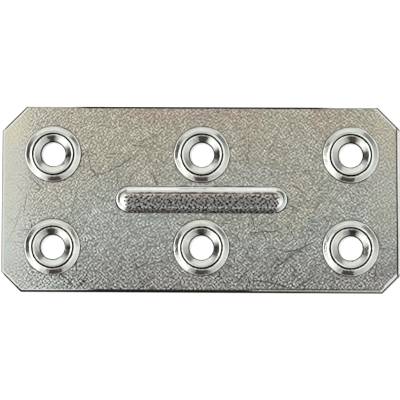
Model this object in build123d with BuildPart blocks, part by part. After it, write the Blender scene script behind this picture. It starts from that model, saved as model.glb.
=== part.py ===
from build123d import *
import os
from math import cos, radians, tan

# Mending plate: one piece of zinc-plated sheet steel, blanked, pierced and pressed.
# It lies on its back with +Z up and the pressed face on top. X runs along the plate,
# Y across it, and the origin is at the middle of the back face. Sizes are millimetres.

# The blank
plate_length = 84.0
plate_width = 39.0
sheet_thickness = 1.5
corner_cut = 4.7           # leg of the 45 degree cut at each corner, as drawn
corner_cut_shift = 0.5     # tool off centre: the +Y corners lose this much more, the -Y ones less
edge_roll = 0.45           # rounding that the blanking tool leaves around the front face
cutoff_bevel = 0.6         # 45 degree droop along the +X end, where the cut-off blade comes down
edge_break = 0.12          # burr tumbled off the back edge
press_margin = 0.25        # flat sheet that each pressed form carries around its foot

# The six screw holes, in two rows of three
hole_columns = 3
hole_rows = 2
end_margin = 10.8          # from a short edge to the nearest hole centre
side_margin = 9.75         # from a long edge to the nearest row, as drawn
hole_row_shift = -0.3      # both rows sit this far off the centre line, towards -Y
bore_radius = 2.5          # clears a 4.5 mm wood screw
bore_bevel = 0.22          # width of the bevel where the screw seat runs into the bore
bore_bevel_depth = 0.3

# The raised ring pressed up around each hole, with the screw seat inside it
ring_radius = 4.3          # from the hole centre to the top of the ring
ring_rise = 0.77           # top of the ring above the front face
ring_slope = 35.0          # outer side of the ring, degrees from flat
ring_top_reach = 0.7       # from the top of the ring to where its outer side turns straight
seat_slope = 38.0          # the screw seat, degrees from flat
seat_top_reach = 0.6       # from the top of the ring to where the seat turns straight
ring_foot_bevel = 0.15     # eases the corner between the ring's side and the flat face
ring_groove_floor = 0.5    # flat bottom of the groove behind the ring

# The stiffening bead between the two rows
bead_length = 36.2         # over its rounded ends, at the flat face
bead_width = 5.66          # at the flat face
bead_rise = 0.8            # middle of the crown above the front face
bead_slope = 45.0          # sides of the bead, degrees from flat
bead_crown_radius = 9.0    # camber across the top
bead_shoulder_round = 0.8  # rounding between crown and side
bead_foot_bevel = 0.15     # eases the corner between the bead's side and the flat face

# Where the holes are
hole_pitch_x = (plate_length - 2 * end_margin) / (hole_columns - 1)
hole_pitch_y = plate_width - 2 * side_margin

# Section of the ring: its two sides would meet in a ridge, and the outer one meets the flat
ring_grade = tan(radians(ring_slope))
seat_grade = tan(radians(seat_slope))
outer_drop = ring_top_reach * ring_grade
seat_drop = seat_top_reach * seat_grade
ridge_height = sheet_thickness + ring_rise + outer_drop * seat_drop / (outer_drop + seat_drop)
foot_corner = ring_radius + (ridge_height - sheet_thickness) / ring_grade
ring_opening = foot_corner + ring_foot_bevel + press_margin
seat_end = bore_radius + bore_bevel
seat_end_height = ridge_height - (ring_radius - seat_end) * seat_grade

# The metal keeps its thickness, so the groove behind follows the ring
groove_ridge_height = ridge_height - sheet_thickness / cos(radians(ring_slope))
groove_half_mouth = groove_ridge_height / ring_grade
groove_half_floor = ring_groove_floor / 2
groove_depth = groove_ridge_height - groove_half_floor * ring_grade

# Section of the bead: sharp corners of its front side, then of the groove behind it
bead_grade = tan(radians(bead_slope))
bead_bend = tan(radians(bead_slope) / 2)
bead_corner = bead_width / 2 - bead_foot_bevel
bead_shoulder = bead_corner - bead_rise / bead_grade
crown_drop = bead_shoulder**2 / (2 * bead_crown_radius)
bead_opening = bead_width / 2 + press_margin
bead_groove_mouth = bead_corner - sheet_thickness * bead_bend
bead_groove_floor = bead_groove_mouth - bead_rise / bead_grade
bead_straight = bead_length - bead_width   # between the centres of the rounded ends

# One pressed hole: the true section of the sheet from the bore out past the foot of the ring
with BuildPart() as pressed_hole:
    with BuildSketch(Plane.XZ):
        with BuildLine():
            ring_top = Bezier(
                (ring_radius - seat_top_reach, ridge_height - seat_drop),
                (ring_radius, ridge_height),
                (ring_radius + ring_top_reach, ridge_height - outer_drop),
            )
            Polyline(
                ring_top @ 1,
                (foot_corner - ring_foot_bevel, sheet_thickness + ring_foot_bevel * ring_grade),
                (foot_corner + ring_foot_bevel, sheet_thickness),
                (ring_opening, sheet_thickness),
                (ring_opening, 0),
                (ring_radius + groove_half_mouth, 0),
                (ring_radius + groove_half_floor, groove_depth),
                (ring_radius - groove_half_floor, groove_depth),
                (ring_radius - groove_half_mouth, 0),
                (bore_radius, 0),
                (bore_radius, seat_end_height - bore_bevel_depth),
                (seat_end, seat_end_height),
                ring_top @ 0,
            )
        make_face()
    revolve(axis=Axis.Z)

# The bead: a quarter of it, half a side and half a rounded end, mirrored twice
with BuildPart() as pressed_bead:
    with BuildSketch(Plane.YZ.offset(bead_straight / 2)) as bead_section:
        with BuildLine():
            crown = ThreePointArc(
                (0, sheet_thickness + bead_rise),
                (bead_shoulder / 2, sheet_thickness + bead_rise - crown_drop / 4),
                (bead_shoulder, sheet_thickness + bead_rise - crown_drop),
            )
            Polyline(
                crown @ 1,
                (bead_corner - bead_foot_bevel, sheet_thickness + bead_foot_bevel * bead_grade),
                (bead_corner + bead_foot_bevel, sheet_thickness),
                (bead_opening, sheet_thickness),
                (bead_opening, 0),
                (bead_groove_mouth, 0),
                (bead_groove_floor, bead_rise),
                (0, bead_rise),
                crown @ 0,
            )
        make_face()
        fillet(bead_section.vertices().sort_by_distance(crown @ 1)[0], bead_shoulder_round)
    extrude(amount=-bead_straight / 2)
    end_axis = Axis((bead_straight / 2, 0, 0), (0, 0, -1))
    revolve(bead_section.sketch, axis=end_axis, revolution_arc=90)
    mirror(about=Plane.XZ)
    mirror(about=Plane.YZ)

# The plate: the blank with its corners cut, then the pressed forms set into it
with BuildPart() as mending_plate:
    with BuildSketch():
        with BuildLine():
            half_length = plate_length / 2
            half_width = plate_width / 2
            upper_cut = corner_cut + corner_cut_shift
            lower_cut = corner_cut - corner_cut_shift
            right_side = Polyline(
                (0, half_width),
                (half_length - upper_cut, half_width),
                (half_length, half_width - upper_cut),
                (half_length, lower_cut - half_width),
                (half_length - lower_cut, -half_width),
                (0, -half_width),
            )
            mirror(right_side, about=Plane.YZ)
        make_face()
    extrude(amount=sheet_thickness)
    cutoff_edge = mending_plate.faces().sort_by(Axis.Z)[-1].edges().sort_by(Axis.X)[-1]
    chamfer(cutoff_edge, cutoff_bevel)
    front_edges = mending_plate.faces().sort_by(Axis.Z)[-1].edges().sort_by(Axis.X)[:-1]
    fillet(front_edges, edge_roll)
    chamfer(mending_plate.faces().sort_by(Axis.Z)[0].edges(), edge_break)

    with Locations((0, hole_row_shift)):
        with GridLocations(hole_pitch_x, hole_pitch_y, hole_columns, hole_rows):
            Hole(ring_opening)
            add(pressed_hole.part)

    with BuildSketch():
        SlotCenterToCenter(bead_straight, 2 * bead_opening)
    extrude(amount=sheet_thickness, mode=Mode.SUBTRACT)
    add(pressed_bead.part)

mending_plate.part.label = "mending_plate"

os.makedirs("parts", exist_ok=True)
export_step(mending_plate.part, "parts/mending_plate.step")
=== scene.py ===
import math

import bpy
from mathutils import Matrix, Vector


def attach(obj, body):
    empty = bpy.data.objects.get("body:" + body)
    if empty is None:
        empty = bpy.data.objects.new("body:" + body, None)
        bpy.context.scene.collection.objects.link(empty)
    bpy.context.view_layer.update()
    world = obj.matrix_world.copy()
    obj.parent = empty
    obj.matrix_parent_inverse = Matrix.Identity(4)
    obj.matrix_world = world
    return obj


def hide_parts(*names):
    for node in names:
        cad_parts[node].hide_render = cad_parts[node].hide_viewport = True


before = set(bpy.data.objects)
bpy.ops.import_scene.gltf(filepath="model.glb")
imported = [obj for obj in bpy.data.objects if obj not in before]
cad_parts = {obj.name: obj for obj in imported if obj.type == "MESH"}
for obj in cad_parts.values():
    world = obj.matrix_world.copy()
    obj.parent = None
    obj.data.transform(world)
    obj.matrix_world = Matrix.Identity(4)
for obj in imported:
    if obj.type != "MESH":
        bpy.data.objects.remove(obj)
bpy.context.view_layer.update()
print("scene: frame loaded")
mm = 0.001


class Nodes:
    # short ways to add nodes to one tree
    def __init__(self, tree):
        self.tree = tree

    def give(self, node, key, value):
        # an input takes another node's output or a fixed value
        if isinstance(value, bpy.types.NodeSocket):
            self.tree.links.new(value, node.inputs[key])
        else:
            node.inputs[key].default_value = value

    def add(self, kind, inputs=None, **settings):
        made = self.tree.nodes.new(kind)
        for key, value in settings.items():
            setattr(made, key, value)
        for key, value in (inputs or {}).items():
            self.give(made, key, value)
        return made

    def math(self, operation, *values, clamp=False):
        return self.add("ShaderNodeMath", dict(enumerate(values)),
                        operation=operation, use_clamp=clamp).outputs[0]

    def chain(self, operation, first, *others, clamp=False):
        for value in others:
            first = self.math(operation, first, value, clamp=clamp)
        return first

    def plus(self, *values):
        return self.chain("ADD", *values)

    def less(self, *values, clamp=False):
        return self.chain("SUBTRACT", *values, clamp=clamp)

    def times(self, *values, clamp=False):
        return self.chain("MULTIPLY", *values, clamp=clamp)

    def most(self, *values):
        return self.chain("MAXIMUM", *values)

    def least(self, *values):
        return self.chain("MINIMUM", *values)

    def size(self, value):
        return self.math("ABSOLUTE", value)

    def rest(self, mask):
        # what a mask leaves out
        return self.less(1.0, mask)

    def distance(self, first, second):
        return self.math("SQRT", self.plus(self.times(first, first), self.times(second, second)))

    def vector(self, operation, *values):
        return self.add("ShaderNodeVectorMath", dict(enumerate(values)), operation=operation).outputs[0]

    def apart(self, vector):
        return self.add("ShaderNodeSeparateXYZ", {0: vector}).outputs

    def step(self, value, low, high, fromValue=0.0, toValue=1.0):
        # smooth change between two values of an input
        return self.add("ShaderNodeMapRange", {
            "Value": value, "From Min": low, "From Max": high,
            "To Min": fromValue, "To Max": toValue},
            interpolation_type="SMOOTHSTEP").outputs[0]

    def band(self, value, ends, soft):
        # 1 between two values of an input, 0 outside them
        start, end = ends
        return self.times(self.step(value, start - soft, start + soft),
                          self.step(value, end + soft, end - soft))

    def line(self, value, place, reach):
        # 1 near one value of an input, 0 away from it
        return self.step(self.size(self.less(value, place)), *reach)

    def noise(self, vector, scale, detail, output="Fac"):
        return self.add("ShaderNodeTexNoise", {
            "Vector": vector, "Scale": scale, "Detail": detail, "Roughness": 0.5}).outputs[output]

    def shades(self, value, stops):
        # a run of colours along an input between 0 and 1
        made = self.add("ShaderNodeValToRGB", {0: value})
        elements = made.color_ramp.elements
        for index, (place, colour) in enumerate(stops):
            element = elements[index] if index < 2 else elements.new(1.0)
            element.position = place
            element.color = colour
        return made.outputs[0]

    def mix(self, factor, first, second, blend="MIX"):
        # between two colours
        return self.add("ShaderNodeMix", {0: factor, 6: first, 7: second},
                        data_type="RGBA", blend_type=blend).outputs[2]

    def between(self, factor, first, second):
        # between two numbers
        return self.add("ShaderNodeMix", {0: factor, 2: first, 3: second}, data_type="FLOAT").outputs[0]

    def shaded(self, colour, level):
        # a colour made darker or lighter by a number
        every = self.add("ShaderNodeCombineXYZ", {0: level, 1: level, 2: level}).outputs[0]
        return self.mix(1.0, colour, every, "MULTIPLY")


# The plate: pressed sheet steel on its back, front face up
plateSizes = {
    "length": 84.0 * mm,
    "width": 39.0 * mm,
    "sheet": 1.5 * mm,
    "upperCut": 5.2 * mm,       # leg of the 45 degree cut at the +Y corners
    "lowerCut": 4.2 * mm,       # and at the -Y corners
    "edgeRoll": 0.45 * mm,      # rounding the blanking tool leaves on the front edges
    "cutoffBevel": 0.6 * mm,    # the 45 degree droop along the +X end
    "mitre": 0.8 * mm,          # length over which the droop turns into the rounding at its corners
    "edgeBreak": 0.12 * mm,     # tumbled back edge
    "margin": 0.2 * mm,         # flat collar that every strip carries where it meets the flats
    "rollSteps": 12,
    "weld": 0.002 * mm,         # points nearer than this become one
    "sharpFrom": math.radians(30),      # edges that turn more than this are shaded as edges
}

# A pressed screw hole, as a section from the flat face in to the bore and out along the back
ringSizes = {
    "columns": 3,
    "rows": 2,
    "pitchX": 31.2 * mm,
    "pitchY": 19.5 * mm,
    "rowShift": -0.3 * mm,
    "bore": 2.5 * mm,
    "bevel": 0.22 * mm,
    "bevelDepth": 0.3 * mm,
    "radius": 4.3 * mm,         # to the top of the ring
    "rise": 0.77 * mm,
    "slope": math.radians(35),
    "topReach": 0.7 * mm,
    "seatSlope": math.radians(38),
    "seatReach": 0.6 * mm,
    "hold": 0.03 * mm,          # short strip that keeps the seat's shading straight to its end
    "footReach": 0.15 * mm,
    "grooveFloor": 0.5 * mm,
    "stepsAround": 128,
    "topSteps": 24,
    "footSteps": 6,
}

# The stiffening bead, as half a section from its middle out to the flat face
beadSizes = {
    "length": 36.2 * mm,
    "width": 5.66 * mm,
    "rise": 0.8 * mm,
    "slope": math.radians(45),
    "cornerInset": 0.15 * mm,   # how far inside its outline the bead's side meets the flat
    "crownRadius": 9.0 * mm,
    "shoulderReach": 0.3 * mm,
    "footReach": 0.22 * mm,
    "tipFall": 0.16 * mm,       # how much lower the crown is at the two tips
    "fallFrom": 3,              # the fall is whole this part of the width out, and
    "fallUp": 0.6,              # this share of the rise up
    "crownSteps": 10,
    "roundSteps": 8,
    "endSteps": 48,
}


def softCorner(before, corner, after, steps):
    # quadratic rounding from one straight run to the next
    points = []
    for i in range(steps + 1):
        t = i / steps
        points.append(tuple(
            (1 - t) ** 2 * a + 2 * t * (1 - t) * b + t ** 2 * c
            for a, b, c in zip(before, corner, after)))
    return points


def ringSection():
    ring, front = ringSizes, plateSizes["sheet"]
    grade, seatGrade = math.tan(ring["slope"]), math.tan(ring["seatSlope"])
    outerDrop, seatDrop = ring["topReach"] * grade, ring["seatReach"] * seatGrade
    ridge = front + ring["rise"] + outerDrop * seatDrop / (outerDrop + seatDrop)
    foot = ring["radius"] + (ridge - front) / grade
    opening = foot + ring["footReach"] + plateSizes["margin"]
    seatEnd = ring["bore"] + ring["bevel"]
    seatEndHeight = ridge - (ring["radius"] - seatEnd) * seatGrade
    grooveRidge = ridge - front / math.cos(ring["slope"])
    mouth = grooveRidge / grade
    floorHalf = ring["grooveFloor"] / 2
    depth = grooveRidge - floorHalf * grade
    points = [(opening, front)]
    points += softCorner((foot + ring["footReach"], front), (foot, front),
                         (foot - ring["footReach"], front + ring["footReach"] * grade), ring["footSteps"])
    points += softCorner((ring["radius"] + ring["topReach"], ridge - outerDrop), (ring["radius"], ridge),
                         (ring["radius"] - ring["seatReach"], ridge - seatDrop), ring["topSteps"])
    points += [(seatEnd + ring["hold"], seatEndHeight + ring["hold"] * seatGrade),
               (seatEnd, seatEndHeight),
               (ring["bore"], seatEndHeight - ring["bevelDepth"]),
               (ring["bore"], 0.0),
               (ring["radius"] - mouth, 0.0),
               (ring["radius"] - floorHalf, depth),
               (ring["radius"] + floorHalf, depth),
               (ring["radius"] + mouth, 0.0),
               (opening, 0.0)]
    return points


def beadSections():
    # two lines: the front from the bead's middle out, and the back from outside in
    bead, front = beadSizes, plateSizes["sheet"]
    top = front + bead["rise"]
    grade = math.tan(bead["slope"])
    corner = bead["width"] / 2 - bead["cornerInset"]
    shoulder = corner - bead["rise"] / grade
    crownEnd = shoulder - bead["shoulderReach"]
    opening = bead["width"] / 2 + plateSizes["margin"] + bead["footReach"]

    def crownHeight(x):
        return top - x ** 2 / (2 * bead["crownRadius"])

    crown = [crownEnd * i / bead["crownSteps"] for i in range(bead["crownSteps"])]
    frontLine = [(x, crownHeight(x)) for x in crown]
    sideStart = crownHeight(shoulder)
    frontLine += softCorner(
        (crownEnd, crownHeight(crownEnd)), (shoulder, sideStart),
        (shoulder + bead["shoulderReach"], sideStart - bead["shoulderReach"] * grade), bead["roundSteps"])
    foot = shoulder + (sideStart - front) / grade
    frontLine += softCorner(
        (foot - bead["footReach"], front + bead["footReach"] * grade), (foot, front),
        (foot + bead["footReach"], front), bead["roundSteps"])
    frontLine.append((opening, front))
    mouth = corner - front * math.tan(bead["slope"] / 2)
    backLine = [(opening, 0.0), (mouth, 0.0), (mouth - bead["rise"] / grade, bead["rise"]),
                (0.0, bead["rise"])]
    return frontLine, backLine


def meshObject(name, points, edges, faces):
    mesh = bpy.data.meshes.new(name)
    mesh.from_pydata(points, edges, faces)
    mesh.update()
    made = bpy.data.objects.new(name, mesh)
    bpy.context.collection.objects.link(made)
    return made


def ringObject():
    # the sweep turns the section's first axis outwards and its second axis down
    points = [(r - ringSizes["radius"], -z, 0.0) for r, z in ringSection()]
    edges = [(i, i + 1) for i in range(len(points) - 1)]
    return meshObject("ringSection", points, edges, [])


def beadObject():
    # each line of the section goes once around the bead's rounded outline
    bead, front = beadSizes, plateSizes["sheet"]

    def height(r, z, towardTip):
        # the crown falls away towards the tips
        out = min(max(r / (bead["width"] / bead["fallFrom"]), 0.0), 1.0)
        up = min(max((z - front) / (bead["fallUp"] * bead["rise"]), 0.0), 1.0)
        return z - bead["tipFall"] * towardTip ** 2 * out ** 2 * (3 - 2 * out) * up

    half = (bead["length"] - bead["width"]) / 2
    stations = []
    for side in (1, -1):
        for i in range(bead["endSteps"] + 1):
            angle = math.pi * (i / bead["endSteps"] - 0.5) + (0 if side > 0 else math.pi)
            stations.append((side * half, math.cos(angle), math.sin(angle)))
    points, faces = [], []
    for line in beadSections():
        start, count = len(points), len(line)
        for middle, cosine, sine in stations:
            points += [(middle + r * cosine, r * sine, height(r, z, cosine)) for r, z in line]
        for i in range(len(stations)):
            j = (i + 1) % len(stations)
            for k in range(count - 1):
                a, b = start + i * count + k, start + j * count + k
                faces.append((a, a + 1, b + 1, b))
    return meshObject("beadShell", points, [], faces)


def rimCorners():
    # the outline's corners, each with the size of the edge that runs through it
    sizes = plateSizes
    halfX, halfY = sizes["length"] / 2, sizes["width"] / 2
    up, low, short = sizes["upperCut"], sizes["lowerCut"], sizes["mitre"] / math.sqrt(2)
    roll, droop = sizes["edgeRoll"], sizes["cutoffBevel"]
    return [(halfX, low - halfY, droop), (halfX, halfY - up, droop),
            (halfX - short, halfY - up + short, roll), (halfX - up, halfY, roll),
            (up - halfX, halfY, roll), (-halfX, halfY - up, roll),
            (-halfX, low - halfY, roll), (low - halfX, -halfY, roll),
            (halfX - low, -halfY, roll), (halfX - short, low - halfY - short, roll)]


def edgeProfile(size, share):
    # how far in from the outline and how far below the front face
    if size == plateSizes["cutoffBevel"]:
        return size * (1 - share), size * share
    angle = math.pi / 2 * share
    return size * (1 - math.sin(angle)), size * (1 - math.cos(angle))


def rimObject():
    # loops of the outline's corners, from the flat front face over the rolled edge to the back
    sizes, corners = plateSizes, rimCorners()
    count = len(corners)

    def inset(index, amount):
        here = Vector(corners[index][:2])
        before = (here - Vector(corners[index - 1][:2])).normalized()
        after = (Vector(corners[(index + 1) % count][:2]) - here).normalized()
        inward = Vector((-before.y - after.y, before.x + after.x)).normalized()
        return here + inward * (amount / math.cos(before.angle(after) / 2))

    loops = [[(*inset(i, corners[i][2] + sizes["margin"]), sizes["sheet"]) for i in range(count)]]
    for step in range(sizes["rollSteps"] + 1):
        loop = []
        for i in range(count):
            reach, drop = edgeProfile(corners[i][2], step / sizes["rollSteps"])
            loop.append((*inset(i, reach), sizes["sheet"] - drop))
        loops.append(loop)
    loops.append([(*inset(i, 0.0), sizes["edgeBreak"]) for i in range(count)])
    loops.append([(*inset(i, sizes["edgeBreak"]), 0.0) for i in range(count)])
    faces = []
    for k in range(len(loops) - 1):
        for i in range(count):
            j = (i + 1) % count
            faces.append((k * count + i, (k + 1) * count + i, (k + 1) * count + j, k * count + j))
    return meshObject("rimShell", [point for loop in loops for point in loop], [], faces)


def addSockets(tree, inputs, output, outputKind):
    # named inputs and one output for a tree; gives each input's identifier
    sockets = {}
    for label, kind in inputs:
        sockets[label] = tree.interface.new_socket(name=label, in_out="INPUT", socket_type=kind).identifier
    tree.interface.new_socket(name=output, in_out="OUTPUT", socket_type=outputKind)
    return sockets


def shellFrom(n, given, label):
    return n.add("GeometryNodeObjectInfo", {"Object": given[label]}).outputs["Geometry"]


def joined(n, parts):
    made = n.add("GeometryNodeJoinGeometry")
    for part in parts:
        n.give(made, 0, part)
    return made.outputs[0]


def welded(n, given, mesh):
    return n.add("GeometryNodeMergeByDistance", {"Geometry": mesh, "Distance": given["Weld"]}).outputs[0]


def sweptHole(n, given):
    # one hole: the section swept around a circle
    section = n.add("GeometryNodeMeshToCurve", {"Mesh": shellFrom(n, given, "Ring Section")}).outputs["Curve"]
    circle = n.add("GeometryNodeCurvePrimitiveCircle", {
        "Resolution": given["Steps Around"], "Radius": given["Ring Radius"]}, mode="RADIUS").outputs["Curve"]
    sweep = n.add("GeometryNodeCurveToMesh", {"Curve": circle, "Profile Curve": section}).outputs["Mesh"]
    return n.add("GeometryNodeFlipFaces", {"Mesh": sweep}).outputs["Mesh"]


def holeGrid(n, given):
    # the same hole at every place of the grid
    grid = n.add("GeometryNodeMeshGrid", {
        "Size X": n.times(n.less(given["Columns"], 1.0), given["Pitch X"]),
        "Size Y": n.times(n.less(given["Rows"], 1.0), given["Pitch Y"]),
        "Vertices X": given["Columns"], "Vertices Y": given["Rows"]}).outputs["Mesh"]
    shift = n.add("ShaderNodeCombineXYZ", {"Y": given["Row Shift"]}).outputs[0]
    places = n.add("GeometryNodeTransform", {"Geometry": grid, "Translation": shift}).outputs["Geometry"]
    return n.add("GeometryNodeInstanceOnPoints", {
        "Points": places, "Instance": sweptHole(n, given)}).outputs["Instances"]


def flatFaces(n, given, shells):
    # the flats: whatever is still open at the front and at the back is filled
    touching = n.add("GeometryNodeInputMeshEdgeNeighbors").outputs["Face Count"]
    openEdge = n.add("FunctionNodeCompare", {2: touching, 3: 1},
                     data_type="INT", operation="EQUAL").outputs[0]
    height = n.apart(n.add("GeometryNodeInputPosition").outputs[0])["Z"]
    middle = n.math("DIVIDE", given["Sheet"], 2.0)

    def filled(side):
        inside = n.math(side, height, middle)
        chosen = n.add("FunctionNodeBooleanMath", {0: openEdge, 1: inside}, operation="AND").outputs[0]
        border = n.add("GeometryNodeMeshToCurve", {"Mesh": shells, "Selection": chosen}).outputs["Curve"]
        return n.add("GeometryNodeFillCurve", {"Curve": border}, mode="TRIANGLES").outputs["Mesh"]

    up = n.add("ShaderNodeCombineXYZ", {"Z": given["Sheet"]}).outputs[0]
    front = n.add("GeometryNodeTransform", {"Geometry": filled("GREATER_THAN"), "Translation": up})
    back = n.add("GeometryNodeFlipFaces", {"Mesh": filled("LESS_THAN")})
    return [front.outputs[0], back.outputs[0]]


def plateTree():
    tree = bpy.data.node_groups.new("pressedPlate", "GeometryNodeTree")
    sockets = addSockets(tree, (
        ("Ring Section", "NodeSocketObject"), ("Bead Shell", "NodeSocketObject"),
        ("Rim Shell", "NodeSocketObject"), ("Columns", "NodeSocketInt"), ("Rows", "NodeSocketInt"),
        ("Pitch X", "NodeSocketFloat"), ("Pitch Y", "NodeSocketFloat"), ("Row Shift", "NodeSocketFloat"),
        ("Ring Radius", "NodeSocketFloat"), ("Steps Around", "NodeSocketInt"),
        ("Sheet", "NodeSocketFloat"), ("Weld", "NodeSocketFloat"), ("Finish", "NodeSocketMaterial")),
        "Plate", "NodeSocketGeometry")
    n = Nodes(tree)
    given = n.add("NodeGroupInput").outputs
    shells = joined(n, (holeGrid(n, given), shellFrom(n, given, "Bead Shell"),
                        shellFrom(n, given, "Rim Shell")))
    shells = n.add("GeometryNodeRealizeInstances", {0: shells}).outputs[0]
    shells = welded(n, given, shells)
    whole = welded(n, given, joined(n, (*flatFaces(n, given, shells), shells)))
    real = n.add("GeometryNodeRealizeInstances", {0: whole}).outputs[0]
    finished = n.add("GeometryNodeSetMaterial", {"Geometry": real, "Material": given["Finish"]}).outputs[0]
    n.add("NodeGroupOutput", {0: finished})
    return tree, sockets


def makePlate(finish):
    plate, ring = plateSizes, ringSizes
    helpers = [ringObject(), beadObject(), rimObject()]
    tree, sockets = plateTree()
    holder = meshObject("plateHolder", [], [], [])
    modifier = holder.modifiers.new("pressedPlate", "NODES")
    modifier.node_group = tree
    values = {
        "Ring Section": helpers[0], "Bead Shell": helpers[1], "Rim Shell": helpers[2],
        "Columns": ring["columns"], "Rows": ring["rows"], "Pitch X": ring["pitchX"],
        "Pitch Y": ring["pitchY"], "Row Shift": ring["rowShift"], "Ring Radius": ring["radius"],
        "Steps Around": ring["stepsAround"], "Sheet": plate["sheet"], "Weld": plate["weld"],
        "Finish": finish,
    }
    for label, value in values.items():
        modifier[sockets[label]] = value
    graph = bpy.context.evaluated_depsgraph_get()
    mesh = bpy.data.meshes.new_from_object(holder.evaluated_get(graph), depsgraph=graph)
    for spare in helpers + [holder]:
        bpy.data.objects.remove(spare)
    mesh.name = "zincPlate"
    return mesh


# The finish: bright zinc over rolled sheet, burnished where the press has stretched it, with painted light
# and shade along the outline, the bead, the tips, the bores and the rings, and across the flats
zincSizes = {
    "wallTop": 1.0 * mm,        # height where the outline's side wall ends
    "wallSoft": 0.1 * mm,
    "pressedEdge": 6.05 * mm,   # how far from a hole's centre the burnished metal reaches
    "beadMargin": 0.15 * mm,    # how far past the bead's side it reaches
    "edgeSoft": 0.2 * mm,       # the width over which it ends
    "rimMargin": 0.05 * mm,     # how far in from the rolled edge it reaches
    "rimSoft": 0.15 * mm,
    "droopMargin": 0.3 * mm,    # and from the droop at the +X end
    "droopSoft": 0.1 * mm,
    "boreEdge": 2.76 * mm,      # a bore's bevel is painted inside this, with painted light on one side and painted shade on the other
    "boreSoft": 0.06 * mm,
    "lipAt": 4.29 * mm,         # from a hole's centre to the lip of its ring
    "lipShadeLine": (0.2 * mm, 0.1 * mm),        # the painted shade line's reach: where it starts and where it is whole
    # painted shade lies along the corner at each ring's foot
    "footAt": 5.98 * mm,        # from a hole's centre to the corner at the ring's foot
    "footShadeLine": (0.14 * mm, 0.04 * mm),
    "crownUpper": 1.0 * mm,     # how far the bead's grained top reaches, across and along
    "crownHalf": 16.25 * mm,
    "crownSoft": 0.15 * mm,
    "crownCurve": 125.0,        # how far the crown's ends draw in towards its sides, per metre
    "crownRagged": 0.5 * mm,    # how far their border wanders
    "tipShadeBand": (1.86 * mm, 2.06 * mm),      # painted shade line around a tip, out from the bead's middle line
    "tipShade": (1.96 * mm, 1.8 * mm),       # and the painted shade inside it
    "lineSoft": 0.05 * mm,      # over which the lines along the outline and the tips end
    "shearBand": 0.34 * mm,     # band along the sheared outline, dull sheared metal painted dark with shade
    "shearMiddle": 0.07 * mm,   # how much wider it is along the middle of the long sides
    "shearLeft": 0.08 * mm,     # and again at the left of the -Y side
    "secondRight": (0.64 * mm, 0.92 * mm),      # painted shade line along the -Y side, in from the outline
    "secondMiddle": (0.2 * mm, 0.68 * mm),
    "secondSoft": 0.06 * mm,
    "rubbedReach": (0.62 * mm, 0.85 * mm),      # how far in the painted edge highlight reaches, wider at the -Y +X corner
    "creaseAt": (1.22 * mm, 1.0 * mm),          # painted shade along the crease in from the +X end, at its +Y and -Y ends
    "creaseHalf": 0.16 * mm,
    "stripSoft": 0.02 * mm,
    "grainReach": 0.42 * mm,    # how far off the grain is compared with itself
    "reliefDepth": 0.09 * mm,
}
beadEdge = beadSizes["width"] / 2 + zincSizes["beadMargin"]

# random patterns: scale per metre, then levels of detail
patterns = {
    "tint": (75.0, 1.5),        # broad patches of tint
    "mottle": (2700.0, 0.0),    # the flats' grain
    "crown": (2500.0, 0.0),     # the coarser grain along the bead
    "waves": (520.0, 1.0),      # slight waves in the burnished metal
    "clusters": (70.0, 1.0),    # where scratches gather
}

# where each change starts and where it is whole, in millimetres
fades = {
    "leftEnd": (-33.0, -41.0),          # less scuffed at the left end, and a little at the right
    "rightEnd": (33.0, 39.0),
    "leftPaintedLight": (-16.0, -42.0),       # painted light: brighter towards both ends
    "rightPaintedLight": (24.0, 42.0),
    "lowerSide": (6.0, -20.0),          # more scuffed towards -Y, and darker there with painted shade
    "lowerLeft": (-22.0, -40.0),        # but without that painted shade at the left
    "lowestScuff": (-13.0, -17.0),
    "lowest": (-10.0, -16.0),           # painted shade darkest along the -Y side, and a greyer tint but for its left end
    "lowestTint": (-32.0, -20.0),
    "warmEdge": (13.0, 18.5),           # warm patches along the middle of the +Y side
    "warmMiddle": (32.0, 24.0),
    "scratchAlong": (34.0, -6.0),       # most scratches lie left and away from the +Y side
    "scratchAcross": (17.0, 8.0),
    "upperEdge": (18.0, 18.2),          # the two long edges, and three parts of the -Y one
    "lowerEdge": (-18.0, -18.2),
    "edgeRight": (9.0, 12.0),
    "edgeMiddle": (-25.0, -21.0),
    "edgeLeft": (-21.0, -25.0),
    "shearRight": (28.0, 17.0),         # the sheared band is fainter at the right, and at both ends of +Y
    "shearUpper": (28.0, 24.0),
    "shearMiddle": (33.0, 24.0),        # and wider along the middle, and at the left of -Y
    "shearLeft": (8.0, -2.0),
    "shearEnd": (0.3, 0.9),             # in from the +X end
    "leftEdge": (0.9, 0.5),             # in from the -X end
    "corner": (0.3, 0.05),              # how much further off the corner cut is than the nearest edge
    "wallReach": (0.14, 0.08),          # in from the outline
    "rubbedEnd": (50.0, 55.0),          # towards the corner of +X and -Y, as x less y
    "creaseLean": (15.0, -15.0),
    "creaseDark": (14.0, -14.0),
    "creaseStart": (0.3, 0.45),         # in from the outline
    "endHighlight": (0.5, 0.6),                # in from the +X end
    "boreSide": (-1.6, 1.2),            # from the painted light on one side of a bore to the painted shade on its other side
    "tipEnd": (0.2, 0.7),               # out past the straight part of the bead
    "tipSide": (-1.0, 0.4),             # from the -Y side of a tip to its +Y side
    "tipShadeEnd": (0.1, 0.6),
    "tipShadeSide": (-0.9, 0.9),
}

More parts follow.
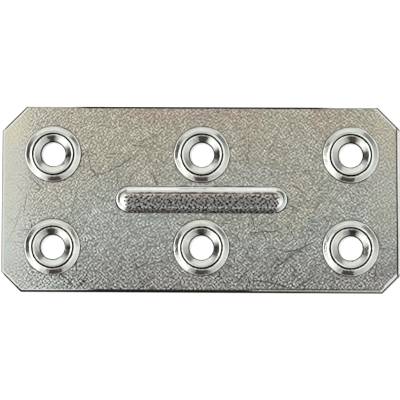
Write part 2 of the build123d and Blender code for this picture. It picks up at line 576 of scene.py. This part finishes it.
# how strong each effect is
strengths = {
    "tintLean": 38.0,           # change of tint across the plate, per metre
    "tintSwing": 1.6,           # and from patch to patch, less the shift
    "tintShift": 0.42,
    "warmPatches": (0.38, 0.6),     # patterns start to count at one value and are whole at the next
    "greyPatches": (0.52, 0.68),
    "greyShare": 0.35,
    "lowestTint": 0.7,
    "scuffBase": 0.9,
    "scuffLower": 0.75,
    "scuffLowest": 0.5,
    "scuffLeft": 0.85,          # taken away at the two ends
    "scuffRight": 0.3,
    "mottle": 1.5,              # the flats' grain
    "speck": 5.5,               # the crown's grain, and how dark it may get
    "speckDarkest": 0.05,
    "level": 0.96,              # brightness of the flats, then the painted light and shade that the parts of the plate add
    "paintedShadeLower": 0.3,
    "paintedShadeLowest": 0.12,
    "paintedLightEnds": 0.15,
    "paintedLightRight": 0.35,
    "clusters": (0.40, 0.58),
    "clustersOutside": 0.25,    # scratches left outside the clusters and at the fainter sides
    "scratchesRight": 0.55,
    "scratchesUpper": 0.4,
    "shearRight": 0.9,          # the sheared band's painted shade where it is fainter, and along the corner cuts
    "shearUpper": 0.5,
    "shearCorner": 0.95,
    "shearLeftEdge": 0.45,      # taken away at the -X end
    "secondRight": 0.7,
    "secondMiddle": 0.95,
    "rubbedLeft": 0.8,
    "rubbedRight": 0.45,
    # strengths of the painted shade at the rings' foot and lip
    "foot": 0.6,
    "lipShade": 0.9,
    "tipShadeLine": (0.25, 0.85),    # at the -Y side of a tip and at its +Y side
    "tipShade": 0.75,
    "boreTurn": 0.6,            # how far a bore's painted shade side is turned from +Y towards -X
    "flattened": 0.88,          # relief that the press takes away
    "crownRelief": 0.55,
    "waves": 1.2,
    "rubbedBare": 0.65,         # how much less metallic the painted edge highlight is
    "gloss": 0.5,
}

roughness = {
    "grainRange": (0.3, 0.7),
    "flats": (0.37, 0.44),      # in the grain's hollows and on its tops
    "leftEnd": 0.22,            # added at the two ends
    "rightEnd": 0.06,
    "pressed": 0.11,
    "crown": 0.34,
    "worn": 0.5,
}

tints = {
    "green": (0.755, 0.81, 0.74, 1),
    "cream": (0.845, 0.815, 0.66, 1),
    "warm": (0.84, 0.72, 0.60, 1),
    "grey": (0.80, 0.77, 0.77, 1),
    "lowest": (0.80, 0.775, 0.75, 1),
    "pressed": (0.80, 0.82, 0.755, 1),
    "scratch": (0.08, 0.075, 0.065, 1),
    "wall": (0.42, 0.41, 0.38, 1),
    # painted shade in the corner at each ring's foot
    "foot": (0.10, 0.10, 0.09, 1),
    # painted highlight along the edge and the +X end
    "rubbed": (0.95, 0.94, 0.90, 1),
    # painted shade in the second line along the -Y side
    "second": (0.05, 0.045, 0.04, 1),
    # dull sheared metal with painted shade over it
    "shear": (0.012, 0.010, 0.008, 1),
    # painted shade along the crease at the +X end
    "creaseUpper": (0.17, 0.16, 0.12, 1),
    "creaseLower": (0.015, 0.012, 0.01, 1),
    # painted light and painted shade on the two sides of each bore
    "borePaintedLight": (0.42, 0.40, 0.38, 1),
    "borePaintedShade": (0.02, 0.018, 0.016, 1),
    # painted shade along the lip of each ring
    "lipShade": (0.02, 0.018, 0.016, 1),
    # painted shade in a line around each of the bead's tips and over their upper halves
    "tipShadeLine": (0.03, 0.03, 0.028, 1),
    "tipShade": (0.30, 0.31, 0.26, 1),
}

# painted light and shade across the bead, from its -Y foot to its +Y foot: painted shade on the lower slope,
# the crown's colour, and a painted highlight on the upper slope
beadLightAndShade = (
    (-2.85 * mm, (0.15, 0.14, 0.13, 1)),
    (-2.45 * mm, (0.20, 0.19, 0.18, 1)),
    (-2.20 * mm, (0.55, 0.53, 0.51, 1)),
    (-1.60 * mm, (0.60, 0.59, 0.57, 1)),
    (-1.40 * mm, (0.68, 0.69, 0.67, 1)),
    (0.00 * mm, (0.70, 0.69, 0.66, 1)),
    (0.85 * mm, (0.76, 0.65, 0.60, 1)),
    (1.05 * mm, (0.66, 0.65, 0.57, 1)),
    (1.50 * mm, (0.60, 0.60, 0.54, 1)),
    (1.62 * mm, (0.97, 0.98, 0.95, 1)),
    (2.85 * mm, (0.96, 0.97, 0.93, 1)),
)

# scratches: cells per metre, line width in cells, bend, share of cells that carry one, depth, darkness
scratchLayers = (
    (85.0, 0.014, 0.8, 0.8, 0.1, 1.1),
    (150.0, 0.024, 0.9, 0.8, 0.1, 1.1),
    (330.0, 0.05, 0.9, 0.7, 0.1, 0.95),
    (1050.0, 0.1, 1.0, 0.6, 0.1, 0.5),
)
scratchShape = {
    "shortest": 0.2,            # half a scratch's length, in cells, and how much longer it may be
    "longer": 0.45,
    "taperFrom": 0.6,           # share of its length where it starts to thin out
    "seedStart": (1.7, 0.6),    # each layer looks at another part of the pattern
    "seedStep": (7.3, 3.1),
}


class Places:
    # where each point lies, what the press and wear did there, and where light and shade are painted, as
    # outputs of nodes
    pass


def grey(value):
    return (value, value, value, 1.0)


def emptyMaterial(name):
    material = bpy.data.materials.new(name)
    material.use_nodes = True
    material.node_tree.nodes.clear()
    return material, Nodes(material.node_tree)


def fade(n, value, name, fromValue=0.0, toValue=1.0):
    start, whole = fades[name]
    return n.step(value, start * mm, whole * mm, fromValue, toValue)


def scratchGroup():
    # one straight or bowed scratch in each cell of a random pattern
    shape = scratchShape
    tree = bpy.data.node_groups.new("scratches", "ShaderNodeTree")
    addSockets(tree, (
        ("Vector", "NodeSocketVector"), ("Density", "NodeSocketFloat"), ("Width", "NodeSocketFloat"),
        ("Bend", "NodeSocketFloat"), ("Share", "NodeSocketFloat"), ("Seed", "NodeSocketVector")),
        "Line", "NodeSocketFloat")
    n = Nodes(tree)
    given = n.add("NodeGroupInput").outputs
    place = n.add("ShaderNodeVectorMath", {0: given["Vector"], "Scale": given["Density"]},
                  operation="SCALE").outputs[0]
    place = n.vector("ADD", place, given["Seed"])
    cells = n.add("ShaderNodeTexVoronoi", {"Vector": place, "Scale": 1.0, "Randomness": 1.0},
                  voronoi_dimensions="2D", feature="F1").outputs
    dx, dy, _ = n.apart(n.vector("SUBTRACT", place, cells["Position"]))
    one, two, three = n.add("ShaderNodeSeparateColor", {0: cells["Color"]}).outputs
    angle = n.times(one, math.pi)
    cosine, sine = n.math("COSINE", angle), n.math("SINE", angle)
    along = n.plus(n.times(dx, cosine), n.times(dy, sine))
    across = n.less(n.times(dy, cosine), n.times(dx, sine))
    bow = n.times(n.times(given["Bend"], n.less(two, 0.5)), n.times(along, along))
    line = n.step(n.size(n.plus(across, bow)), given["Width"], 0.0)
    reach = n.plus(shape["shortest"], n.times(three, shape["longer"]))
    ends = n.step(n.size(along), reach, n.times(reach, shape["taperFrom"]))
    kept = n.math("LESS_THAN", two, given["Share"])
    n.add("NodeGroupOutput", {0: n.times(line, ends, kept)})
    return tree


def grain(n, place, name):
    # an even grain of one size: noise less the mean of the noise a little way off on four sides
    reach = zincSizes["grainReach"]
    left, right, below, above = (
        n.noise(n.vector("ADD", place, (dx * reach, dy * reach, 0.0)), *patterns[name])
        for dx, dy in ((1, 0), (-1, 0), (0, 1), (0, -1)))
    mean = n.times(n.plus(n.plus(left, right), n.plus(below, above)), 0.25)
    return n.plus(0.5, n.less(n.noise(place, *patterns[name]), mean))


def surfacePlaces(n, place):
    at, sizes, half = Places(), zincSizes, plateSizes["length"] / 2
    at.x, at.y, z = n.apart(place)
    at.fromMiddle, at.fromEnd = n.size(at.x), n.less(half, at.x)
    # 1 on the front face and its rolled edge, 0 on the back and on the outline's side wall
    at.front = n.step(z, sizes["wallTop"] - sizes["wallSoft"], sizes["wallTop"])
    # from the nearest hole's centre
    at.cellX = n.math("WRAP", at.x, ringSizes["pitchX"] / 2, -ringSizes["pitchX"] / 2)
    fromRows = n.less(at.y, ringSizes["rowShift"])
    at.cellY = n.times(n.less(n.size(fromRows), ringSizes["pitchY"] / 2), n.math("SIGN", fromRows))
    at.fromHole = n.distance(at.cellX, at.cellY)
    # from the bead's middle line
    beadHalf = (beadSizes["length"] - beadSizes["width"]) / 2
    at.pastEnd = n.most(n.less(at.fromMiddle, beadHalf), 0.0)
    at.fromBead = n.distance(at.pastEnd, at.y)
    # in from the outline
    sideX, sideY = n.less(half, at.fromMiddle), n.less(plateSizes["width"] / 2, n.size(at.y))
    cut = n.between(n.math("GREATER_THAN", at.y, 0.0), plateSizes["lowerCut"], plateSizes["upperCut"])
    at.corner = n.math("DIVIDE", n.less(n.plus(sideX, sideY), cut), math.sqrt(2))
    at.fromEdge = n.least(sideX, sideY, at.corner)
    at.mottle, at.crownMottle = grain(n, place, "mottle"), grain(n, place, "crown")
    return at


def addPressed(n, at):
    # 1 where the press has burnished the metal: rings, bead, rolled edge and droop
    sizes = zincSizes
    rimEdge = plateSizes["edgeRoll"] + sizes["rimMargin"]
    droopEdge = plateSizes["cutoffBevel"] + sizes["droopMargin"]
    at.bead = n.step(at.fromBead, beadEdge, beadEdge - sizes["edgeSoft"])
    at.pressed = n.most(
        n.step(at.fromHole, sizes["pressedEdge"], sizes["pressedEdge"] - sizes["edgeSoft"]), at.bead,
        n.step(at.fromEdge, rimEdge, rimEdge - sizes["rimSoft"]),
        n.step(at.fromEnd, droopEdge, droopEdge - sizes["droopSoft"]))
    # the top of the bead is grained again, from its upper shoulder to its lower foot, and each end
    # of that follows the tip's curve with a ragged border
    ragged = n.times(n.less(at.crownMottle, 0.5), sizes["crownRagged"])
    end = n.plus(at.fromMiddle, n.times(n.times(at.y, at.y), sizes["crownCurve"]), ragged)
    half, upper, soft = sizes["crownHalf"], sizes["crownUpper"], sizes["crownSoft"]
    at.straight = n.step(end, half + soft, half - soft)
    at.crown = n.times(n.step(at.y, upper + soft, upper - soft),
                       n.step(at.y, -beadEdge, sizes["edgeSoft"] - beadEdge), at.straight, at.front)


def addScuff(n, at):
    # the left end is the least scuffed, the -Y side the most
    share = strengths
    at.leftEnd, at.rightEnd = fade(n, at.x, "leftEnd"), fade(n, at.x, "rightEnd")
    at.lower = fade(n, at.y, "lowerSide")
    scuff = n.times(n.rest(n.times(at.leftEnd, share["scuffLeft"])),
                    n.plus(share["scuffBase"], n.times(at.lower, share["scuffLower"])),
                    n.rest(n.times(at.rightEnd, share["scuffRight"])))
    at.scuff = n.plus(scuff, fade(n, at.y, "lowestScuff", 0.0, share["scuffLowest"]))


def addShear(n, at):
    # a sheared band along the outline, dull metal painted dark with shade, and the side wall under it
    sizes, share = zincSizes, strengths
    at.nearCorner = fade(n, n.less(at.corner, at.fromEdge), "corner")
    at.leftEdge = fade(n, n.plus(at.x, plateSizes["length"] / 2), "leftEdge")
    at.lowerEdge = fade(n, at.y, "lowerEdge")
    strong = n.between(fade(n, at.y, "upperEdge"), fade(n, at.x, "shearRight", share["shearRight"], 1.0),
                       fade(n, at.fromMiddle, "shearUpper", share["shearUpper"], 1.0))
    strong = n.times(n.most(strong, n.times(at.nearCorner, share["shearCorner"])),
                     n.rest(n.times(at.leftEdge, share["shearLeftEdge"])),
                     fade(n, at.fromEnd, "shearEnd"))
    band, soft = sizes["shearBand"], sizes["lineSoft"]
    reach = fade(n, at.fromMiddle, "shearMiddle", band, band + sizes["shearMiddle"])
    reach = n.plus(reach, n.times(at.lowerEdge, fade(n, at.x, "shearLeft", 0.0, sizes["shearLeft"])))
    at.pastShear = n.less(at.fromEdge, reach)
    at.shear = n.times(n.step(at.pastShear, soft, -soft), strong, at.front)
    at.wall = n.times(n.rest(at.front), fade(n, at.fromEdge, "wallReach"))


def addPaintedEdgeLight(n, at):
    # painted shade in a second, shallower line along the -Y side, and a painted highlight along the edge
    # inside the sheared band
    sizes, share, soft = zincSizes, strengths, zincSizes["lineSoft"]
    lowerRight = n.times(at.lowerEdge, fade(n, at.x, "edgeRight"))
    lowerLeft = n.times(at.lowerEdge, fade(n, at.x, "edgeLeft"))
    lowerMiddle = n.times(n.less(at.lowerEdge, lowerRight), fade(n, at.x, "edgeMiddle"))
    right = n.times(n.band(at.fromEdge, sizes["secondRight"], sizes["secondSoft"]),
                    n.times(lowerRight, share["secondRight"]))
    middle = n.times(n.band(at.fromEdge, sizes["secondMiddle"], sizes["secondSoft"]),
                     n.times(lowerMiddle, share["secondMiddle"]))
    at.second = n.times(n.most(right, middle), at.front)
    rubbed = n.most(at.nearCorner, n.times(at.leftEdge, share["rubbedLeft"]),
                    n.times(lowerRight, share["rubbedRight"]), lowerLeft)
    reach = fade(n, n.less(at.x, at.y), "rubbedEnd", *sizes["rubbedReach"])
    rubbed = n.times(n.times(n.step(at.pastShear, -soft, soft),
                             n.step(n.less(reach, at.fromEdge), -soft, soft)), rubbed)
    # the droop at the +X end carries a painted highlight, with painted shade along the crease on its inner
    # side
    half, stripSoft = sizes["creaseHalf"], sizes["stripSoft"]
    fromCrease = n.less(at.fromEnd, fade(n, at.y, "creaseLean", *sizes["creaseAt"]))
    at.crease = n.times(n.band(fromCrease, (-half, half), soft), fade(n, at.fromEdge, "creaseStart"),
                        at.front)
    endHighlight = n.times(n.step(fromCrease, stripSoft, -stripSoft), fade(n, at.fromEnd, "endHighlight"))
    at.rubbed = n.times(n.most(rubbed, endHighlight), at.front)


def flatColour(n, at, place):
    # warm along the +Y edge and greener towards -Y, in broad patches, then painted light towards both ends,
    # painted shade towards -Y, and the grain
    share = strengths
    patches = n.noise(place, *patterns["tint"], "Color")
    one, two, three = n.add("ShaderNodeSeparateColor", {0: patches}).outputs
    swing = n.less(n.times(one, share["tintSwing"]), share["tintShift"])
    lean = n.plus(n.times(at.y, share["tintLean"]), swing)
    colour = n.mix(n.step(lean, 0.0, 1.0), tints["green"], tints["cream"])
    warm = n.times(fade(n, at.y, "warmEdge"), n.step(three, *share["warmPatches"]),
                   fade(n, at.fromMiddle, "warmMiddle"))
    colour = n.mix(warm, colour, tints["warm"])
    colour = n.mix(n.times(n.step(two, *share["greyPatches"]), share["greyShare"]), colour, tints["grey"])
    lowest = fade(n, at.y, "lowest")
    lowestTint = n.times(lowest, fade(n, at.x, "lowestTint", 0.0, share["lowestTint"]))
    colour = n.mix(lowestTint, colour, tints["lowest"])

    # painted shade towards -Y and painted light towards both ends set the flats' level
    lower = n.times(at.lower, n.rest(fade(n, at.x, "lowerLeft")))
    ends = n.plus(fade(n, at.x, "leftPaintedLight"), n.times(fade(n, at.x, "rightPaintedLight"), share["paintedLightRight"]))
    level = n.plus(n.less(share["level"], n.times(lower, share["paintedShadeLower"])),
                   n.times(ends, share["paintedLightEnds"]))
    level = n.less(level, n.times(lowest, share["paintedShadeLowest"]))
    swing = n.times(n.less(at.mottle, 0.5), n.times(at.scuff, share["mottle"]))
    colour = n.shaded(colour, n.times(n.plus(1.0, swing), level))
    return n.mix(at.pressed, colour, tints["pressed"])


def beadColour(n, at, colour):
    # painted light and shade across the bead's straight part, with the crown's grain
    across = n.plus(0.5, n.math("DIVIDE", at.y, 2 * beadEdge))
    shades = n.shades(across, [(0.5 + place / (2 * beadEdge), shade) for place, shade in beadLightAndShade])
    speck = n.plus(1.0, n.times(n.less(at.crownMottle, 0.5), strengths["speck"]))
    speck = n.between(at.crown, 1.0, n.most(speck, strengths["speckDarkest"]))
    return n.mix(n.times(at.bead, at.front, at.straight), colour, n.shaded(shades, speck))


def scratched(n, at, place, colour):
    # dark scratches in clusters over the flats, and the relief that they and the grain leave
    share, shape, group = strengths, scratchShape, scratchGroup()
    depths, marks = 0.0, 0.0
    for index, (density, width, bend, often, depth, dark) in enumerate(scratchLayers):
        seed = [step * index + start for step, start in zip(shape["seedStep"], shape["seedStart"])]
        line = n.add("ShaderNodeGroup", node_tree=group)
        for label, value in (("Vector", place), ("Density", density), ("Width", width), ("Bend", bend),
                             ("Share", often), ("Seed", (*seed, 0.0))):
            n.give(line, label, value)
        depths = n.plus(depths, n.times(line.outputs[0], depth))
        marks = n.most(marks, n.times(line.outputs[0], dark))
    flats = n.rest(at.pressed)
    clusters = n.step(n.noise(place, *patterns["clusters"]), *share["clusters"],
                      share["clustersOutside"], 1.0)
    often = n.times(clusters, fade(n, at.x, "scratchAlong", share["scratchesRight"], 1.0),
                    fade(n, at.y, "scratchAcross", share["scratchesUpper"], 1.0))
    marks = n.times(n.times(marks, flats), n.times(at.scuff, often), clamp=True)
    relief = n.less(n.between(at.crown, at.mottle, at.crownMottle), n.times(depths, flats))
    return n.mix(marks, colour, tints["scratch"]), relief


def sideWallAndPaintedLight(n, at, colour):
    # the side wall, painted shade in the corner at each ring's foot, and the painted highlight and shade
    # along the outline, one over the other
    sizes, share = zincSizes, strengths
    foot = n.times(n.line(at.fromHole, sizes["footAt"], sizes["footShadeLine"]), at.front)
    for mask, tint in ((at.wall, "wall"), (n.times(foot, share["foot"]), "foot"), (at.rubbed, "rubbed"),
                       (at.second, "second"), (at.shear, "shear")):
        colour = n.mix(mask, colour, tints[tint])
    crease = n.mix(fade(n, at.y, "creaseDark"), tints["creaseUpper"], tints["creaseLower"])
    colour = n.mix(at.crease, colour, crease)
    # painted light and shade on each bore, then painted shade along the lip of each ring
    paintedBoreBevel = n.step(at.fromHole, sizes["boreEdge"], sizes["boreEdge"] - sizes["boreSoft"])
    side = fade(n, n.less(at.cellY, n.times(at.cellX, share["boreTurn"])), "boreSide")
    colour = n.mix(paintedBoreBevel, colour, n.mix(side, tints["borePaintedLight"], tints["borePaintedShade"]))
    lipShade = n.times(n.line(at.fromHole, sizes["lipAt"], sizes["lipShadeLine"]), at.front)
    return n.mix(n.times(lipShade, share["lipShade"]), colour, tints["lipShade"])


def tipPaintedShade(n, at, colour):
    # painted shade over the upper half of each of the bead's tips, with a painted shade line around its
    # shoulder
    sizes, share = zincSizes, strengths
    tipShadeArea = n.times(n.step(at.fromBead, *sizes["tipShade"]), fade(n, at.pastEnd, "tipShadeEnd"), at.front,
                   fade(n, at.y, "tipShadeSide", 0.0, share["tipShade"]), n.rest(at.crown))
    line = n.times(n.band(at.fromBead, sizes["tipShadeBand"], sizes["lineSoft"]), fade(n, at.pastEnd, "tipEnd"),
                   at.front, fade(n, at.y, "tipSide", *share["tipShadeLine"]))
    return n.mix(line, n.mix(tipShadeArea, colour, tints["tipShade"]), tints["tipShadeLine"])


def zincRoughness(n, at):
    rough = n.step(at.mottle, *roughness["grainRange"], *roughness["flats"])
    rough = n.plus(rough, n.plus(n.times(at.leftEnd, roughness["leftEnd"]),
                                 n.times(at.rightEnd, roughness["rightEnd"])))
    for mask, kind in ((at.pressed, "pressed"), (at.crown, "crown"), (at.rubbed, "worn"),
                       (n.most(at.shear, at.wall), "worn")):
        rough = n.between(mask, rough, roughness[kind])
    return rough


def zincRelief(n, at, place, relief):
    # the press flattens the relief, but leaves the crown of the bead grained
    share = strengths
    depth = n.times(at.scuff, n.rest(n.times(at.pressed, share["flattened"])))
    depth = n.most(depth, n.times(at.crown, share["crownRelief"]))
    waves = n.times(n.noise(place, *patterns["waves"]), n.times(at.pressed, share["waves"]))
    return n.add("ShaderNodeBump", {"Height": n.plus(n.times(relief, depth), waves), "Strength": 1.0,
                                    "Distance": zincSizes["reliefDepth"]}).outputs[0]


def zincMaterial():
    material, n = emptyMaterial("zincPlatedSteel")
    place = n.add("ShaderNodeTexCoord").outputs["Object"]
    at = surfacePlaces(n, place)
    addPressed(n, at)
    addScuff(n, at)
    addShear(n, at)
    addPaintedEdgeLight(n, at)
    colour = beadColour(n, at, flatColour(n, at, place))
    colour, relief = scratched(n, at, place, colour)
    colour = tipPaintedShade(n, at, sideWallAndPaintedLight(n, at, colour))
    bare = n.less(n.rest(at.shear), n.times(at.rubbed, strengths["rubbedBare"]), clamp=True)
    surface = n.add("ShaderNodeBsdfPrincipled", {
        "Base Color": colour, "Metallic": bare, "Roughness": zincRoughness(n, at),
        "Normal": zincRelief(n, at, place, relief), "Specular IOR Level": n.times(bare, strengths["gloss"])})
    n.add("ShaderNodeOutputMaterial", {"Surface": surface.outputs[0]})
    return material


finish = zincMaterial()
print("scene: finish made")
plateMesh = makePlate(finish)
plateMesh.polygons.foreach_set("use_smooth", [True] * len(plateMesh.polygons))
plateMesh.set_sharp_from_angle(angle=plateSizes["sharpFrom"])
plate = bpy.data.objects.new("zincPlate", plateMesh)
bpy.context.collection.objects.link(plate)
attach(plate, "root")
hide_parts("mending_plate")
print("scene: plate made,", len(plateMesh.polygons), "faces")

# The studio: a pale floor and background, with one soft lamp
studio = {
    "floorSize": 1.2,
    "floorDrop": 0.02 * mm,
    "floorColour": 0.8,
    "floorGlow": 0.62,
    "ambient": 0.55,            # light from the background, which itself shows white
    "lampSize": 0.6,
    "lampEnergy": 6.0,
    "lampAzimuth": 150,
    "lampPolar": 35,            # degrees from straight up
    "lampAway": 1.0,
}


def seenRays(n):
    # camera, mirror and see-through rays, which show the background
    path = n.add("ShaderNodeLightPath").outputs
    return n.most(path["Is Camera Ray"], path["Is Glossy Ray"], path["Is Transmission Ray"])


def makeFloor():
    size, low = studio["floorSize"], -studio["floorDrop"]
    corners = [(-size, -size, low), (size, -size, low), (size, size, low), (-size, size, low)]
    floor = meshObject("paleFloor", corners, [], [(0, 1, 2, 3)])
    material, n = emptyMaterial("paleFloor")
    paint = n.add("ShaderNodeBsdfDiffuse", {"Color": grey(studio["floorColour"])})
    strength = n.times(seenRays(n), studio["floorGlow"])
    glow = n.add("ShaderNodeEmission", {"Color": grey(1.0), "Strength": strength})
    total = n.add("ShaderNodeAddShader", {0: paint.outputs[0], 1: glow.outputs[0]})
    n.add("ShaderNodeOutputMaterial", {"Surface": total.outputs[0]})
    floor.data.materials.append(material)


def makeWorld():
    world = bpy.data.worlds.new("paleStudio")
    bpy.context.scene.world = world
    world.use_nodes = True
    world.node_tree.nodes.clear()
    n = Nodes(world.node_tree)
    strength = n.between(seenRays(n), studio["ambient"], 1.0)
    back = n.add("ShaderNodeBackground", {"Color": grey(1.0), "Strength": strength})
    n.add("ShaderNodeOutputWorld", {"Surface": back.outputs[0]})


def direction(azimuth, polar):
    a, t = math.radians(azimuth), math.radians(polar)
    return Vector((math.cos(a) * math.sin(t), math.sin(a) * math.sin(t), math.cos(t)))


def makeLamp():
    way = direction(studio["lampAzimuth"], studio["lampPolar"])
    light = bpy.data.lights.new("softLamp", "AREA")
    light.shape = "SQUARE"
    light.size = studio["lampSize"]
    light.energy = studio["lampEnergy"]
    lamp = bpy.data.objects.new("softLamp", light)
    lamp.location = way * studio["lampAway"]
    lamp.rotation_euler = way.to_track_quat("Z", "Y").to_euler()
    lamp.visible_glossy = False
    bpy.context.collection.objects.link(lamp)


# The tent: a soft white dome around the plate that only the metal shows. It is dark overhead,
# where the camera stands, and down the near side; the wall near the floor is uneven.
# Its angles are in degrees: polar ones from straight up, azimuths around the plate from +X.
tent = {
    "radius": 0.8,
    "bottom": 96.0,
    "rings": 24,
    "segments": 64,
    "lean": (math.radians(1.22), math.radians(1.06), 0.0),      # how far the whole tent is tipped
    "hoodAzimuth": 300,
    "hoodPolar": 4.0,
    "hoodEdge": 26.0,           # from the middle of the hood to its edge
    "hoodSoft": 7.0,
    "hoodColour": (0.01, 0.01, 0.01, 1),
    "hoodWarm": (0.20, 0.15, 0.13, 1),
    "hoodWarmFrom": (2, 14),    # how far towards +Y the warm side starts and is whole
    "nearAzimuth": 268.5,
    "nearHalf": 17.0,
    "nearSoft": 3.0,
    "nearTop": (46.0, 58.0),    # the near strip starts at the first of these and is whole at the second
    "nearColour": (0.085, 0.062, 0.066, 1),
    "nearRagged": 26.0,         # how far its borders wander
    "raggedPattern": (15.0, 2.0),       # scale and levels of detail
    "wallTop": 63.0,            # where the wall begins
    "skirtTop": 73.0,           # and where the skirt below it begins
    "soft": 5.0,
    "wallShades": ((0, 0.60), (18, 0.48), (32, 0.20), (50, 0.18), (62, 0.72), (90, 0.9), (120, 0.8),
                   (142, 0.48), (152, 0.10), (186, 0.12), (198, 0.85), (222, 1.3), (234, 1.15), (248, 0.45),
                   (292, 0.5), (315, 0.66), (335, 0.78), (360, 0.64)),
    # the skirt is what the screw seats mirror, so this is turned half round from what shows
    "skirtShades": ((0, 0.62), (18, 0.5), (30, 0.32), (48, 0.3), (60, 0.8), (80, 0.9), (104, 0.95),
                    (130, 1.0), (142, 0.6), (150, 0.36), (160, 0.06), (168, 0.03), (182, 0.03), (190, 0.28),
                    (202, 0.95), (216, 1.35), (232, 1.3), (246, 0.6), (254, 0.12), (260, 0.03), (276, 0.03),
                    (286, 0.25), (296, 0.42), (310, 0.76), (335, 0.86), (360, 0.62)),
    "upperShades": ((0, 1.0), (45, 0.95), (84, 0.56), (128, 0.58), (150, 0.95), (180, 1.5), (225, 1.1),
                    (250, 0.7), (268, 0.35), (286, 0.6), (315, 0.95), (360, 1.0)),
    "brightFade": (58.0, 34.0),     # the tent is brightest inside the second of these
    "brightGain": 0.3,
}


def tentMesh():
    rings, segments = tent["rings"], tent["segments"]
    points, faces = [], []
    for i in range(rings + 1):
        for j in range(segments):
            points.append(direction(360.0 * j / segments, tent["bottom"] * i / rings) * tent["radius"])
    for i in range(rings):
        for j in range(segments):
            k = (j + 1) % segments
            a, b = i * segments, (i + 1) * segments
            faces.append((a + j, a + k, b + k, b + j))
    return meshObject("softTent", points, [], faces)


def tentColour(n):
    place = n.add("ShaderNodeTexCoord").outputs["Object"]
    way = n.add("ShaderNodeVectorRotate", {"Vector": place, "Rotation": tent["lean"]},
                rotation_type="EULER_XYZ").outputs[0]
    way = n.vector("NORMALIZE", way)
    x, y, z = n.apart(way)
    polar = n.math("DEGREES", n.math("ARCCOSINE", z))
    azimuth = n.math("WRAP", n.math("DEGREES", n.math("ARCTAN2", y, x)), 360.0, 0.0)
    turn = n.math("DIVIDE", azimuth, 360.0)
    upper, wall, skirt = (
        n.shades(turn, [(angle / 360, grey(shade)) for angle, shade in tent[name]])
        for name in ("upperShades", "wallShades", "skirtShades"))
    soft = tent["soft"]
    colour = n.mix(n.step(polar, tent["wallTop"] - soft, tent["wallTop"] + soft), upper, wall)
    # the near strip's borders are ragged
    ragged = n.less(n.noise(way, *tent["raggedPattern"]), 0.5)
    aside = n.plus(n.size(n.less(azimuth, tent["nearAzimuth"])), n.times(ragged, tent["nearRagged"]))
    near = n.times(n.step(aside, tent["nearHalf"] + tent["nearSoft"], tent["nearHalf"] - tent["nearSoft"]),
                   n.step(polar, *tent["nearTop"]))
    colour = n.mix(near, colour, tent["nearColour"])
    colour = n.mix(n.step(polar, tent["skirtTop"] - soft / 2, tent["skirtTop"] + soft / 2), colour, skirt)
    colour = n.shaded(colour, n.step(polar, *tent["brightFade"], 1.0, 1.0 + tent["brightGain"]))
    # the hood overhead
    middle = direction(tent["hoodAzimuth"], tent["hoodPolar"])
    toHood = n.add("ShaderNodeVectorMath", {0: way, 1: middle}, operation="DOT_PRODUCT").outputs["Value"]
    fromHood, soft = n.math("DEGREES", n.math("ARCCOSINE", toHood)), tent["hoodSoft"]
    hood = n.step(fromHood, tent["hoodEdge"] + soft / 2, tent["hoodEdge"] - soft / 2)
    warmSide = n.step(y, *(math.sin(math.radians(angle)) for angle in tent["hoodWarmFrom"]))
    return n.mix(hood, colour, n.mix(warmSide, tent["hoodColour"], tent["hoodWarm"]))


def makeTent():
    dome = tentMesh()
    material, n = emptyMaterial("softTent")
    glow = n.add("ShaderNodeEmission", {"Color": tentColour(n), "Strength": 1.0})
    n.add("ShaderNodeOutputMaterial", {"Surface": glow.outputs[0]})
    material.cycles.emission_sampling = "NONE"
    dome.data.materials.append(material)
    dome.visible_camera = False
    dome.visible_shadow = False
    dome.visible_diffuse = False
    dome.visible_transmission = False


makeFloor()
makeWorld()
makeTent()
makeLamp()
print("scene: studio made")

# The camera, almost straight above
view = {
    "place": (5.57 * mm, -22.62 * mm, 406.1 * mm),
    "turn": (0.0557, 0.0143, 0.0053),
    "width": 36.0,
    "field": math.radians(11.8),
    "nearest": 0.01,
    "farthest": 20.0,
}


def makeCamera():
    lens = bpy.data.cameras.new("camera")
    lens.sensor_width = view["width"]
    lens.angle = view["field"]
    lens.clip_start = view["nearest"]
    lens.clip_end = view["farthest"]
    camera = bpy.data.objects.new("camera", lens)
    camera.location = view["place"]
    camera.rotation_euler = view["turn"]
    bpy.context.collection.objects.link(camera)
    bpy.context.scene.camera = camera
    bpy.context.scene.view_settings.view_transform = "Standard"


makeCamera()
print("scene: camera set")
